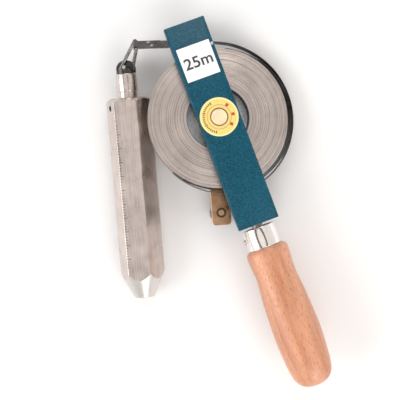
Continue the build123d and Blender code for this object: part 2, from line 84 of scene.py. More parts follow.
BODY_L = 146.0                  # the bob without its neck
NECK_R = 5.0
TIP_R = 7.6                     # the bob's flat end
TIP_SLOPE = 6.6 / 14.0          # how fast its tip widens along the axis
TIP_L = 22.0                    # how far the bright turning reaches
SCALE_FROM, SCALE_TO = 24.0, 128.0
SHOULDER_L, SHOULDER_IN = 6.0, 7.0
HOLE_R, HOLE_DEEP, HOLE_DOWN = 2.15, 6.0, 7.0
SKIRT_IN, SKIRT_OUT, SKIRT_L = 6.45, 6.95, 4.8
SLEEVE_BORE = 5.05
SPRING_BORE, SPRING_BORE_L = 7.0, 7.0               # the sleeve's wider bore, round the spring

HUB_WALL = 2.5
FERRULE_WALL = 0.8

# the grip's outline: radius, and distance from the ferrule's rim
GRIP_SOCKET = ((0.0, 1.6), (10.9, 1.6), (11.1, 1.8), (11.1, 15.0))
GRIP = ((12.3, 15.2), (14.2, 16.3), (15.3, 19.0), (15.1, 25.0), (14.5, 36.0), (15.3, 46.0),
        (16.2, 57.0), (17.1, 80.0), (16.2, 98.0), (15.2, 107.0), (13.4, 113.4), (9.8, 117.6),
        (4.8, 119.6), (0.0, 120.0))

PRINT_R = 13.75                 # the disc's printed rings are shares of this
INK = 0.05                      # thickness of print
WELD = 0.0005                   # points nearer than this are one


def joint(name):
    """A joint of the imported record, by name."""
    return next(j for j in frame["joints"] if j["name"] == name)


def reel_place():
    """Turns the reel's own frame into the row's frame."""
    spin = joint("drum_spin")
    axle = Vector(spin["axis"])
    roll = math.asin(axle.x)
    pitch = math.atan2(axle.y, axle.z)
    return (Matrix.Translation(spin["pos_m"]) @ Matrix.Rotation(-pitch, 4, "X")
            @ Matrix.Rotation(roll, 4, "Y"))


def bob_place():
    """Turns the bob's own frame into the row's frame."""
    up_bob = -Vector(joint("sleeve_slide")["axis"])
    up = Vector((0, 0, 1))
    side = up_bob.cross(up)
    turn = Matrix((up, side, up_bob)).transposed().to_4x4()
    pin = Vector(joint("bob_swing")["pos_m"])
    tip = min((v.co - pin).dot(up_bob) for v in NODES["bob_body"].data.vertices)
    return Matrix.Translation(pin + up_bob * tip) @ turn


REEL = reel_place()
BOB = bob_place()


def extent(node, place):
    """A CAD node's lowest and highest corners in millimetres, in the given frame."""
    inverse = place.inverted()
    spots = [inverse @ v.co / MM for v in NODES[node].data.vertices]
    low = Vector([min(p[i] for p in spots) for i in range(3)])
    high = Vector([max(p[i] for p in spots) for i in range(3)])
    return low, high


# ---- properties ---------------------------------------------------------------------


def colour(label, text, default):
    """A colour property."""
    return FloatVectorProperty(name=label, description=text, default=default, subtype="COLOR",
                               size=3, min=0.0, max=1.0)


def length(label, text, default_mm):
    """A length property; Blender keeps it in metres."""
    return FloatProperty(name=label, description=text, default=default_mm * MM, min=0.0,
                         unit="LENGTH", precision=5)


class DipTapeSizes(PropertyGroup):
    """Sizes that the CAD model leaves open."""

    bend: length("Cheek bend", "Outside radius of the cheek's bends", 1.5)
    sheet: length("Cheek sheet", "Thickness of the cheek's metal", 1.2)
    ribbon: length("Ribbon", "Thickness of the steel tape", 0.3)
    rings: IntProperty(name="Coil rings", description="Ridges on the face of the wound tape", default=74,
                       min=8)
    ridge: length("Ridge", "Unevenness of the wound edges", 0.16)
    letters: length("Letters", "Width of the length on its label", 20.6)
    round_over: length("Round over", "Rounding of the sleeve's rims", 0.7)


class DipTapeColours(PropertyGroup):
    """Base colours of the finishes."""

    teal: colour("Teal paint", "Hammered paint of the cheeks", (0.005, 0.066, 0.104))
    wood: colour("Beech", "Light tone of the grip", (0.68, 0.315, 0.18))
    wood_dark: colour("Beech grain", "Dark tone of the grip", (0.44, 0.165, 0.08))
    edge: colour("Tape edges", "Edges of the wound tape", (0.56, 0.49, 0.45))
    blue: colour("Tape face", "Blued face of the tape", (0.075, 0.07, 0.067))
    bob: colour("Bob steel", "Machined steel of the bob", (0.66, 0.58, 0.54))
    gold: colour("Disc", "Gold of the disc label", (0.9, 0.66, 0.2))
    yellow_zinc: colour("Yellow zinc", "Plating of the crank", (0.66, 0.4, 0.24))
    ink: colour("Ink", "Print of the length", (0.05, 0.048, 0.052))


# ---- shader maths -------------------------------------------------------------------


class Value:
    """A socket that takes part in Python sums; each sum adds its Math node."""

    def __init__(self, nodes, socket):
        self.nodes = nodes
        self.socket = socket

    def part(self, name):
        """Another output of the same node."""
        return Value(self.nodes, self.socket.node.outputs[name])

    def sum(self, operation, first, second):
        return self.nodes.node("ShaderNodeMath", {"operation": operation}, {0: first, 1: second})

    def __add__(self, other):
        return self.sum("ADD", self, other)

    def __sub__(self, other):
        return self.sum("SUBTRACT", self, other)

    def __rsub__(self, other):
        return self.sum("SUBTRACT", other, self)

    def __mul__(self, other):
        return self.sum("MULTIPLY", self, other)

    def __truediv__(self, other):
        return self.sum("DIVIDE", self, other)

    def __mod__(self, other):
        return self.sum("FLOORED_MODULO", self, other)

    def __gt__(self, other):
        return self.sum("GREATER_THAN", self, other)

    def __lt__(self, other):
        return self.sum("LESS_THAN", self, other)

    __radd__ = __add__
    __rmul__ = __mul__

    def capped(self):
        """The value, but at most 1."""
        return self.sum("MINIMUM", self, 1.0)


# a Mix node's sockets when it blends colours
MIX_FACTOR, MIX_FIRST, MIX_SECOND, MIX_RESULT = 0, 6, 7, 2


class Nodes:
    """A node tree with one shader, built from a few named steps."""

    def __init__(self, tree, shader):
        self.tree = tree
        self.shader = tree.nodes[shader]

    def node(self, kind, settings, inputs, output=0):
        """Add one node: its settings first, then its sockets' values or links."""
        made = self.tree.nodes.new(kind)
        for key, setting in settings.items():
            if key == "stops":
                stops = made.color_ramp.elements
                while len(stops) < len(setting):
                    stops.new(0.5)
                for stop, (place, shade) in zip(stops, setting):
                    stop.position = place
                    stop.color = (*shade, 1.0)
            else:
                setattr(made, key, setting)
        for key, value in inputs.items():
            self.plug(made.inputs[key], value)
        return Value(self, made.outputs[output])

    def plug(self, socket, value):
        """Link a value to a socket, or set the socket to a number."""
        if isinstance(value, Value):
            self.tree.links.new(value.socket, socket)
        elif socket.type == "RGBA":
            socket.default_value = (*value, 1.0)
        else:
            socket.default_value = value

    def set(self, **inputs):
        """Set the shader's sockets: base_color becomes Base Color, and so on."""
        for key, value in inputs.items():
            label = key.replace("_", " ").title().replace("Ior", "IOR")
            self.plug(self.shader.inputs[label], value)

    def ramp(self, value, stops):
        """Colours along a value."""
        return self.node("ShaderNodeValToRGB", {"stops": stops}, {"Fac": value})


class Finish(Nodes):
    """A material on Object coordinates."""

    def __init__(self, name, **settings):
        self.material = bpy.data.materials.new(name)
        self.material.use_nodes = True
        super().__init__(self.material.node_tree, "Principled BSDF")
        self.set(**settings)

    def object_spot(self):
        """The piece's own coordinates, in metres."""
        return self.node("ShaderNodeTexCoord", {}, {}, "Object")

    def place(self, frame_matrix):
        """Object coordinates in millimetres, in the given frame, as a vector."""
        inverse = frame_matrix.inverted()
        return self.node("ShaderNodeMapping", {}, {
            "Vector": self.object_spot(),
            "Location": inverse.translation / MM,
            "Rotation": inverse.to_euler("XYZ"),
            "Scale": (1 / MM, 1 / MM, 1 / MM),
        })

    def stretched(self, vector, scale):
        """A vector with each axis scaled on its own."""
        return self.node("ShaderNodeMapping", {}, {"Vector": vector, "Scale": scale})

    def along_x(self, value):
        """A value as a vector, so that noise follows it alone."""
        return self.node("ShaderNodeCombineXYZ", {}, {"X": value})

    def axes(self, vector):
        """The three parts of a vector."""
        split = self.node("ShaderNodeSeparateXYZ", {}, {"Vector": vector})
        return [split.part(axis) for axis in "XYZ"]

    def radius(self, vector):
        """Distance from the frame's Z axis."""
        flat = self.stretched(vector, (1, 1, 0))
        return self.node("ShaderNodeVectorMath", {"operation": "LENGTH"}, {0: flat}, "Value")

    def noise(self, vector, scale, detail=3.0, rough=0.5):
        """Soft random values about 0.5; the scale is features per unit of the vector."""
        return self.node("ShaderNodeTexNoise", {}, {"Vector": vector, "Scale": scale, "Detail": detail,
                                                    "Roughness": rough})

    def cells(self, vector, scale, feature="F1"):
        """Distance to the nearest cell centre or wall."""
        return self.node("ShaderNodeTexVoronoi", {"feature": feature}, {"Vector": vector, "Scale": scale})

    def span(self, value, low, high, to_low=0.0, to_high=1.0):
        """Stretch a range of values to another range, clamped."""
        return self.node("ShaderNodeMapRange", {}, {"Value": value, "From Min": low, "From Max": high,
                                                    "To Min": to_low, "To Max": to_high})

    def mix(self, factor, first, second):
        """Blend two colours."""
        return self.node("ShaderNodeMix", {"data_type": "RGBA"},
                         {MIX_FACTOR: factor, MIX_FIRST: first, MIX_SECOND: second}, MIX_RESULT)

    def done(self, base, gloss=None, bump=None):
        """Set what changes over the surface, and give back the material.

        gloss is a noise and the roughness at its low and high ends; bump is a height
        between about 0 and 1, its depth in millimetres and its strength.
        """
        self.set(base_color=base)
        if gloss:
            noise, low, high = gloss
            self.set(roughness=self.span(noise, 0.3, 0.7, low, high))
        if bump:
            height, depth, strength = bump
            self.set(normal=self.node("ShaderNodeBump", {}, {"Height": height, "Distance": depth * MM,
                                                             "Strength": strength}))
        return self.material


def tone(shade, factor):
    """A colour made lighter or darker."""
    return tuple(min(1.0, part * factor) for part in shade)


# ---- finishes -----------------------------------------------------------------------


def hue(name):
    """A colour property."""
    return tuple(getattr(bpy.context.scene.dip_tape_colours, name))


def size(name):
    """A length property, in millimetres."""
    return getattr(bpy.context.scene.dip_tape_sizes, name) / MM


def hammered_paint(name):
    """Teal hammered enamel: shallow dimples and a fine metallic mottle."""
    teal = hue("teal")
    finish = Finish(name, metallic=0.0, roughness=0.36, specular_ior_level=0.18,
                    coat_weight=0.08, coat_roughness=0.15)
    spot = finish.place(REEL)
    dimples = finish.cells(spot, 0.75, "SMOOTH_F1")
    mottle = finish.noise(spot, 0.9, 4.0, 0.65)
    patch = finish.noise(spot, 0.05, 2.0)
    fleck = finish.span(mottle, 0.36, 0.66)
    pit = finish.span(dimples, 0.15, 0.75)
    base = finish.mix(fleck * 0.6 + pit * 0.4, tone(teal, 0.42), tone(teal, 1.65))
    base = finish.mix(finish.span(patch, 0.35, 0.7, 0.0, 0.3), base, tone(teal, 1.5))
    return finish.done(base, gloss=(mottle, 0.26, 0.4), bump=(dimples * 0.7 + mottle * 0.3, 0.24, 0.8))


def wound_edges():
    """The edges of the wound tape: fine rings, each with its own tone."""
    edge = hue("edge")
    finish = Finish("wound_tape_edges", metallic=0.85, roughness=0.36)
    spot = finish.place(REEL)
    radius = finish.radius(spot)
    along = finish.along_x(radius)
    fine = finish.noise(along, 2.2, 4.0, 0.8)
    broad = finish.noise(along, 0.8, 2.0, 0.5)
    smear = finish.noise(spot, 0.09, 3.0, 0.6)
    shade = finish.span(fine * 0.7 + broad * 0.3 + smear * 0.12, 0.4, 0.7)
    base = finish.ramp(shade, [(0.0, tone(edge, 0.2)), (0.38, tone(edge, 0.66)), (0.7, tone(edge, 1.08)),
                               (1.0, tone(edge, 1.45))])
    return finish.done(base, gloss=(fine, 0.26, 0.5), bump=(fine, 0.12, 0.7))


def blued_tape(name):
    """The tape's broad faces: dark steel, drawn along its length."""
    blue = hue("blue")
    finish = Finish(name, metallic=0.9, roughness=0.34)
    spot = finish.place(REEL)
    streak = finish.noise(finish.stretched(spot, (0.12, 0.12, 3.0)), 1.0, 4.0, 0.6)
    cloud = finish.noise(spot, 0.22, 3.0, 0.6)
    base = finish.ramp(streak * 0.55 + cloud * 0.45, [(0.3, tone(blue, 0.5)), (0.5, blue),
                                                      (0.72, tone(blue, 2.6))])
    return finish.done(base, gloss=(cloud, 0.24, 0.46))


def speckled_zinc():
    """Zinc-plated sheet with a faint spangle."""
    finish = Finish("zinc_plate", metallic=0.9, roughness=0.4)
    spot = finish.place(REEL)
    spangle = finish.cells(spot, 0.9).part("Color")
    grey = finish.node("ShaderNodeRGBToBW", {}, {"Color": spangle})
    fine = finish.noise(spot, 1.7, 4.0, 0.7)
    base = finish.ramp(grey * 0.5 + fine * 0.5, [(0.25, (0.42, 0.45, 0.48)), (0.55, (0.6, 0.62, 0.64)),
                                                 (0.8, (0.75, 0.76, 0.77))])
    return finish.done(base, gloss=(fine, 0.3, 0.5), bump=(fine, 0.05, 0.4))


def bob_steel():
    """Drawn hexagon steel: faint lines along the bar and a ticked edge on the top facet."""
    steel = hue("bob")
    finish = Finish("bob_steel", metallic=1.0, roughness=0.3)
    spot = finish.place(BOB)
    up, side, along = finish.axes(spot)
    drawn = finish.noise(finish.stretched(spot, (1.6, 1.6, 0.045)), 1.0, 4.0, 0.65)
    stain = finish.noise(spot, 0.07, 3.0, 0.6)
    base = finish.ramp(drawn * 0.5 + stain * 0.5, [(0.3, tone(steel, 0.62)), (0.5, steel),
                                                   (0.75, tone(steel, 1.3))])
    # the tip is turned bright; a facet lies inside the tip's cone
    cone = (finish.radius(spot) > along * TIP_SLOPE + (TIP_R - 0.1)) * (along < TIP_L)
    turning = finish.noise(finish.along_x(along), 2.6, 3.0, 0.7)
    bright = finish.ramp(turning, [(0.35, (0.5, 0.46, 0.44)), (0.6, (0.8, 0.76, 0.73))])
    base = finish.mix(cone * 0.9, base, bright)
    half = extent("bob_body", BOB)[1].x
    on_top = (up > half - 0.15) * (along > SCALE_FROM) * (along < SCALE_TO)
    short = ((along % 2.0) < 0.5) * (side < -half * 0.47)
    long = ((along % 10.0) < 0.6) * (side < -half * 0.36)
    ticks = (short + long).capped() * on_top
    base = finish.mix(ticks * 0.62, base, tone(steel, 0.16))
    return finish.done(base, gloss=(stain, 0.24, 0.38), bump=(drawn - ticks * 0.5, 0.03, 0.35))


def beech():
    """Lacquered beech: long soft rings and short dark rays."""
    light = hue("wood")
    dark = hue("wood_dark")
    finish = Finish("lacquered_beech", roughness=0.42, coat_weight=0.35, coat_roughness=0.2)
    spot = finish.place(REEL)
    bent = finish.noise(finish.stretched(spot, (0.16, 0.016, 0.16)), 1.0, 3.0, 0.55)
    pores = finish.noise(finish.stretched(spot, (3.2, 0.34, 3.2)), 1.0, 3.0, 0.6)
    rays = finish.cells(finish.stretched(spot, (0.95, 0.2, 0.95)), 1.0)
    fleck = finish.span(rays, 0.16, 0.34, 1.0, 0.0) * finish.span(pores, 0.36, 0.52)
    base = finish.ramp(bent, [(0.3, tone(dark, 1.15)), (0.47, tone(light, 0.86)), (0.6, light),
                              (0.75, tone(light, 1.1))])
    base = finish.mix(finish.span(pores, 0.5, 0.68, 0.0, 0.5), base, dark)
    base = finish.mix(fleck * 0.75, base, tone(dark, 0.62))
    return finish.done(base, gloss=(pores, 0.36, 0.5), bump=(1.0 - pores * 0.6 - fleck * 0.4, 0.05, 0.35))


def metal(name, shade, rough, frame_matrix=REEL, wear=0.12, metallic=1.0):
    """Bare or plated metal with a fine grain and slightly uneven gloss."""
    finish = Finish(name, metallic=metallic, roughness=rough)
    spot = finish.place(frame_matrix)
    fine = finish.noise(finish.stretched(spot, (0.6, 0.6, 0.6)), 1.0, 4.0, 0.6)
    cloud = finish.noise(spot, 0.2, 2.0)
    base = finish.mix(finish.span(fine * 0.5 + cloud * 0.5, 0.35, 0.65), tone(shade, 1 - 2 * wear),
                      tone(shade, 1 + wear))
    return finish.done(base, gloss=(cloud, rough * 0.8, rough * 1.25))


def hub_steel():
    """The hub's rim is turned bright; its bore and its outer edge are darkened as painted shade."""
    finish = Finish("hub_steel", metallic=0.9, roughness=0.42)
    spot = finish.place(REEL)
    radius = finish.radius(spot)
    rings = finish.noise(finish.along_x(radius), 2.4, 3.0, 0.7)
    base = finish.ramp(rings, [(0.3, (0.34, 0.29, 0.27)), (0.6, (0.58, 0.51, 0.48))])
    bore = extent("drum_hub", REEL)[1].x - HUB_WALL
    # painted shade: the bore is painted near black, where the recess lies in shade
    base = finish.mix(finish.span(radius, bore, bore + 0.25, 0.94, 0.0), base, (0.02, 0.018, 0.018))
    # painted shade: a thin dark ring at the hub's outer edge, where it meets the coil
    base = finish.mix(finish.span(radius, bore + 2.1, bore + 2.4, 0.0, 0.7), base, (0.1, 0.085, 0.08))
    return finish.done(base, gloss=(rings, 0.35, 0.5), bump=(rings, 0.06, 0.4))


def gold_disc():
    """Printed foil: a pale rim, a thin dark ring and soft tones towards the middle; the dark band next to
    the axle is painted shade.
    """
    gold = hue("gold")
    finish = Finish("gold_foil", metallic=0.25, roughness=0.35, coat_weight=0.4, coat_roughness=0.15)
    spot = finish.place(REEL)
    radius = finish.radius(spot)
    print_grain = finish.noise(spot, 1.2, 3.0)
    share = radius / PRINT_R
    # painted shade: the first stops make the band next to the axle dark brown, out to 0.46 of PRINT_R
    base = finish.ramp(share, [(0.43, (0.12, 0.05, 0.015)), (0.462, (0.14, 0.06, 0.02)),
                               (0.48, (0.9, 0.7, 0.26)), (0.6, (0.9, 0.66, 0.22)), (0.63, (0.5, 0.26, 0.06)),
                               (0.65, (0.92, 0.74, 0.25)), (0.88, (0.9, 0.7, 0.2)),
                               (0.94, (0.95, 0.88, 0.42))])
    base = finish.mix(finish.span(print_grain, 0.4, 0.7, 0.0, 0.2), base, tone(gold, 0.75))
    return finish.done(base, bump=(print_grain, 0.02, 0.3))


def paper_label():
    """White printed paper, a little soiled."""
    finish = Finish("white_paper", roughness=0.55)
    spot = finish.place(REEL)
    soil = finish.noise(spot, 0.15, 4.0, 0.6)
    base = finish.ramp(soil, [(0.35, (0.86, 0.86, 0.88)), (0.6, (0.93, 0.93, 0.94))])
    return finish.done(base, bump=(finish.noise(spot, 2.0, 3.0), 0.015, 0.3))


def flat_ink(name, shade):
    """Print with a slightly uneven cover."""
    finish = Finish(name, roughness=0.5)
    cover = finish.noise(finish.place(REEL), 1.4, 3.0)
    return finish.done(finish.mix(cover, tone(shade, 0.85), tone(shade, 1.2)))


def black_gloss(name, frame_matrix):
    """Black oxide and lacquer with fine handling marks."""
    finish = Finish(name, metallic=0.2, roughness=0.22, coat_weight=0.5, coat_roughness=0.08)
    marks = finish.noise(finish.place(frame_matrix), 0.5, 5.0, 0.7)
    base = finish.ramp(marks, [(0.35, (0.012, 0.012, 0.013)), (0.75, (0.05, 0.048, 0.046))])
    return finish.done(base, gloss=(marks, 0.16, 0.34))


# ---- making pieces ------------------------------------------------------------------


def add_object(name, data):
    """Put new data into the scene."""
    made = bpy.data.objects.new(name, data)
    bpy.context.scene.collection.objects.link(made)
    return made


def new_piece(name, bm, place, body, material, replaces=(), sharp=40):
    """Turn a bmesh in millimetres into a finished piece that rides on a body."""
    bmesh.ops.remove_doubles(bm, verts=bm.verts, dist=WELD)
    bmesh.ops.recalc_face_normals(bm, faces=bm.faces)
    bm.transform(place @ Matrix.Scale(MM, 4))
    limit = math.radians(sharp)
    for face in bm.faces:
        face.smooth = True
    for edge in bm.edges:
        edge.smooth = edge.is_manifold and edge.calc_face_angle() < limit
    mesh = bpy.data.meshes.new(name)
    bm.to_mesh(mesh)
    bm.free()
    piece = add_object(name, mesh)
    mesh.materials.append(material)
    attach(piece, body)
    if replaces:
        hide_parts(*replaces)
    return piece


def finish_node(node, material):
    """Give a CAD node its material."""
    slots = NODES[node].material_slots
    if slots:
        slots[0].material = material
    else:
        NODES[node].data.materials.append(material)


def turned(outline, steps):
    """A closed turned shape from an outline of (radius, height)."""
    bm = bmesh.new()
    spots = [bm.verts.new((r, 0, z)) for r, z in outline]
    edges = [bm.edges.new(pair) for pair in zip(spots, spots[1:])]
    bmesh.ops.spin(bm, geom=spots + edges, cent=(0, 0, 0), axis=(0, 0, 1), dvec=(0, 0, 0),
                   angle=math.tau, steps=steps, use_merge=True, use_duplicate=False)
    bmesh.ops.remove_doubles(bm, verts=bm.verts, dist=WELD)
    return bm


def rounded(corners, soft, steps):
    """A line through corners and back to the first, with each corner rounded."""
    line = []
    for i, here in enumerate(corners):
        before, after = corners[i - 1], corners[(i + 1) % len(corners)]
        start = here + (before - here).normalized() * soft
        end = here + (after - here).normalized() * soft
        for step in range(steps + 1):
            t = step / steps
            line.append(start * (1 - t) ** 2 + here * 2 * t * (1 - t) + end * t ** 2)
    return line


def ring_outline(inner, outer, low, high, soft):
    """The outline of a turned ring with rounded corners, as a closed list."""
    corners = [Vector(p) for p in ((inner, low), (outer, low), (outer, high), (inner, high))]
    outline = [tuple(p) for p in rounded(corners, soft, 4)]
    return outline + [outline[0]]


def quarter(middle, reach, rise, steps):
    """A quarter of an ellipse about a point, from its side to its top."""
    turns = [math.pi / 2 * step / steps for step in range(steps + 1)]
    return [(middle[0] + reach * math.cos(t), middle[1] + rise * math.sin(t)) for t in turns]


def around(radius, degrees, height=0.0):
    """A point round the frame's Z axis."""
    turn = math.radians(degrees)
    return Vector((radius * math.cos(turn), radius * math.sin(turn), height))


def pull(bm, made, way):
    """Move the points that an extrusion has just made."""
    bmesh.ops.translate(bm, vec=way, verts=[v for v in made["geom"] if isinstance(v, bmesh.types.BMVert)])


def as_bmesh(data):
    """The shape of a curve or a text."""
    holder = add_object("shape", data)
    mesh = bpy.data.meshes.new_from_object(holder)
    bpy.data.objects.remove(holder)
    bm = bmesh.new()
    bm.from_mesh(mesh)
    bpy.data.meshes.remove(mesh)
    return bm


def wire(line, radius, resolution, closed):
    """A round wire along a line of points."""
    curve = bpy.data.curves.new("wire", "CURVE")
    curve.dimensions = "3D"
    curve.bevel_depth = radius
    curve.bevel_resolution = resolution
    curve.use_fill_caps = not closed
    spline = curve.splines.new("POLY")
    spline.points.add(len(line) - 1)
    for point, spot in zip(spline.points, line):
        point.co = (*spot, 1.0)
    spline.use_cyclic_u = closed
    return as_bmesh(curve)


def ribbon(route, widths, thick):
    """A strip of tape along a route; each point has its own width direction."""
    bm = bmesh.new()
    half = TAPE_WIDE / 2
    left, right = [bm.verts.new(route[0] + widths[0] * side) for side in (-half, half)]
    edge = bm.edges.new((left, right))
    for spot, width in zip(route[1:], widths[1:]):
        made = bmesh.ops.extrude_edge_only(bm, edges=[edge])["geom"]
        ends = [v for v in made if isinstance(v, bmesh.types.BMVert)]
        left, right = sorted(ends, key=lambda v: (v.co - left.co).length)
        left.co = spot - width * half
        right.co = spot + width * half
        edge = next(e for e in left.link_edges if e.other_vert(left) is right)
    bmesh.ops.recalc_face_normals(bm, faces=bm.faces)
    bmesh.ops.solidify(bm, geom=bm.faces[:], thickness=thick)
    return bm


def join(*shapes):
    """Put several bmeshes into one."""
    whole = shapes[0]
    for shape in shapes[1:]:
        mesh = bpy.data.meshes.new("joined")
        shape.to_mesh(mesh)
        shape.free()
        whole.from_mesh(mesh)
        bpy.data.meshes.remove(mesh)
    return whole


def carve(bm, tool, operation="DIFFERENCE"):
    """Cut one closed shape with another, and give back the result."""
    pair = []
    for shape in (bm, tool):
        bmesh.ops.remove_doubles(shape, verts=shape.verts, dist=WELD)
        bmesh.ops.recalc_face_normals(shape, faces=shape.faces)
        mesh = bpy.data.meshes.new("blank")
        shape.to_mesh(mesh)
        shape.free()
        pair.append(add_object("blank", mesh))
    bite = pair[0].modifiers.new("bite", "BOOLEAN")
    bite.operation = operation
    bite.solver = "EXACT"
    bite.object = pair[1]
    result = bmesh.new()
    result.from_object(pair[0], bpy.context.evaluated_depsgraph_get())
    for blank in pair:
        bpy.data.objects.remove(blank)
    return result


def bar(radius, low, high, spot=(0, 0)):
    """A plain round bar along Z, used to bore holes."""
    bm = bmesh.new()
    middle = Matrix.Translation((*spot, (low + high) / 2))
    bmesh.ops.create_cone(bm, cap_ends=True, segments=48, radius1=radius, radius2=radius,
                          depth=high - low, matrix=middle)
    return bm


def soften(bm, width):
    """Round a shape's sharp edges."""
    limit = math.radians(50)
    edges = [e for e in bm.edges if e.is_manifold and e.calc_face_angle() > limit]
    bmesh.ops.bevel(bm, geom=edges, offset=width, segments=2, profile=0.5, affect="EDGES",
                    material=-1, clamp_overlap=True)


def smooth_line(points, steps):
    """A smooth line of (radius, height) through a few points."""
    dots = [Vector(p) for p in points]
    line = []
    for i in range(len(dots) - 1):
        before = dots[max(i - 1, 0)]
        start, end = dots[i], dots[i + 1]
        after = dots[min(i + 2, len(dots) - 1)]
        for step in range(steps):
            t = step / steps
            line.append(0.5 * (2 * start + (end - before) * t
                               + (2 * before - 5 * start + 4 * end - after) * t * t
                               + (3 * start - before - 3 * end + after) * t ** 3))
    line.append(dots[-1])
    return [tuple(p) for p in line]


def along_handle(distance):
    """Turned pieces on the handle: Z runs from the reel to the grip's end."""
    return REEL @ Matrix.Translation((0, -distance * MM, 0)) @ Matrix.Rotation(math.pi / 2, 4, "X")


# ---- the reel -----------------------------------------------------------------------


class DIPTAPE_OT_cheek(Operator):
    """Builds the painted front cheek: a bent steel channel with its holes"""
    bl_idname = "diptape.cheek"
    bl_label = "Front cheek"

    def execute(self, context):
        low, high = extent("front_cheek", REEL)
        half, front, foot = high.x, high.z, low.z
        sheet, bend = size("sheet"), size("bend")
        right = quarter((half - bend, front - bend), bend, bend, 6)[::-1] + [(half, foot)]
        section = [(-x, z) for x, z in reversed(right)] + right
        bm = bmesh.new()
        spots = [bm.verts.new((x, low.y, z)) for x, z in section]
        edges = [bm.edges.new(pair) for pair in zip(spots, spots[1:])]
        pull(bm, bmesh.ops.extrude_edge_only(bm, edges=edges), (0, high.y - low.y, 0))
        bmesh.ops.recalc_face_normals(bm, faces=bm.faces)
        if max(bm.faces, key=lambda f: f.calc_area()).normal.z > 0:
            bmesh.ops.reverse_faces(bm, faces=bm.faces)
        bmesh.ops.solidify(bm, geom=bm.faces[:], thickness=-sheet)
        proud = max(v.co.z for v in bm.verts) - front
        bmesh.ops.translate(bm, vec=(0, 0, -max(0.0, proud)), verts=bm.verts)
        bmesh.ops.recalc_face_normals(bm, faces=bm.faces)
        soften(bm, 0.22)
        near, far = extent("guide_pin", REEL)
        bores = (((0.0, 0.0), extent("front_bush", REEL)[1].x + 0.05),
                 (((near + far) / 2).xy, (far.x - near.x) / 2 + 0.02))
        for spot, radius in bores:
            bm = carve(bm, bar(radius, foot, front + 5, spot))
        new_piece("cheek_channel", bm, REEL, "frame", hammered_paint("hammered_teal"),
                  ["front_cheek"])

        # the fastenings lie flush under the paint in front and just show behind
        low, high = extent("cheek_screws", REEL)
        radius = (high.x - low.x) / 2
        spots = ((low.y + radius, radius), (high.y - radius, radius))
        near, far = extent("spacer_rivet", REEL)
        spots += (((near.y + far.y) / 2, (far.x - near.x) / 2),)
        pins = []
        for y, r in spots:
            pin = turned([(0, low.z + 0.12), (r * 0.8, low.z + 0.1), (r, low.z + 0.25), (r, front - 0.1),
                          (0, front - 0.1)], 40)
            pin.transform(Matrix.Translation((0, y, 0)))
            pins.append(pin)
        new_piece("painted_fastenings", join(*pins), REEL, "frame",
                  hammered_paint("hammered_teal_fastenings"), ["cheek_screws", "spacer_rivet"])
        return {"FINISHED"}


class DIPTAPE_OT_coil(Operator):
    """Builds the wound tape, whose edges stand unevenly"""
    bl_idname = "diptape.coil"
    bl_label = "Tape coil"

    def execute(self, context):
        high = extent("tape_coil", REEL)[1]
        outer, top = high.x, high.z
        inner = min(Vector((p.x, p.y)).length for p in (
            REEL.inverted() @ v.co / MM for v in NODES["tape_coil"].data.vertices))
        rings, ridge = context.scene.dip_tape_sizes.rings, size("ridge")
        dice = random.Random(7)
        face = []
        wide = (outer - inner) / rings
        for ring in range(rings):
            start = inner + (outer - inner) * ring / rings
            height = top - ridge * dice.random()
            face += [(start + 0.06 * wide, height - 0.1 * ridge), (start + 0.5 * wide, height),
                     (start + 0.9 * wide, height - 0.25 * ridge)]
        back = ridge - top
        outline = [(inner, 0.0), (inner, face[0][1]), *face, (outer, face[-1][1]), (outer, back),
                   (inner, back), (inner, 0.0)]
        new_piece("wound_tape", turned(outline, 144), REEL, "drum", wound_edges(),
                  ["tape_coil"], sharp=60)
        return {"FINISHED"}


def tail_frame():
    """Where the tape leaves its last turn, its directions and the middle of the link's bar."""
    link = joint("link_swing")
    to_reel = REEL.inverted()
    width = (to_reel.to_3x3() @ Vector(link["axis"])).normalized()
    eye = to_reel @ Vector(link["pos_m"]) / MM
    tail = around(1.0, TAPE_HEADING)
    across = Vector((-tail.y, tail.x, 0))
    return across * eye.dot(across), tail, across, width, eye


class DIPTAPE_OT_lead(Operator):
    """Builds the slack turn of tape, its loose neighbours and the straight tail"""
    bl_idname = "diptape.lead"
    bl_label = "Tape lead"

    def execute(self, context):
        leave, tail, across, width, eye = tail_frame()
        up = Vector((0, 0, 1))
        coil = extent("tape_coil", REEL)[1].x
        slack = [(angle, coil + gap) for angle, gap in SLACK] + [(SLACK_END, leave.length)]
        route = [around(r, angle) for angle, r in smooth_line(slack, 5)]
        widths = [up] * len(route)
        twist = math.atan2(width.dot(across), width.dot(up))
        run = (eye - leave).dot(tail) - EYE_BACK
        steps = 40
        for step in range(1, steps + 1):
            reach = run * step / steps
            share = min(1.0, max(0.0, (reach - TWIST_FROM) / TWIST_L))
            angle = twist * (0.5 - 0.5 * math.cos(math.pi * share))
            route.append(leave + tail * reach)
            widths.append(up * math.cos(angle) + across * math.sin(angle))
        strips = [ribbon(route, widths, size("ribbon"))]
        steps = 60
        for start, end, swell in LOOSE_TURNS:
            route = []
            for step in range(steps + 1):
                share = step / steps
                gap = 0.25 + swell * math.sin(math.pi * share) ** 1.2 * (1.15 - 0.3 * share)
                route.append(around(coil + gap, start + (end - start) * share))
            strips.append(ribbon(route, [up] * len(route), size("ribbon")))
        new_piece("slack_tape", join(*strips), REEL, "frame", blued_tape("blued_tape"),
                  ["tape_lead"])
        return {"FINISHED"}


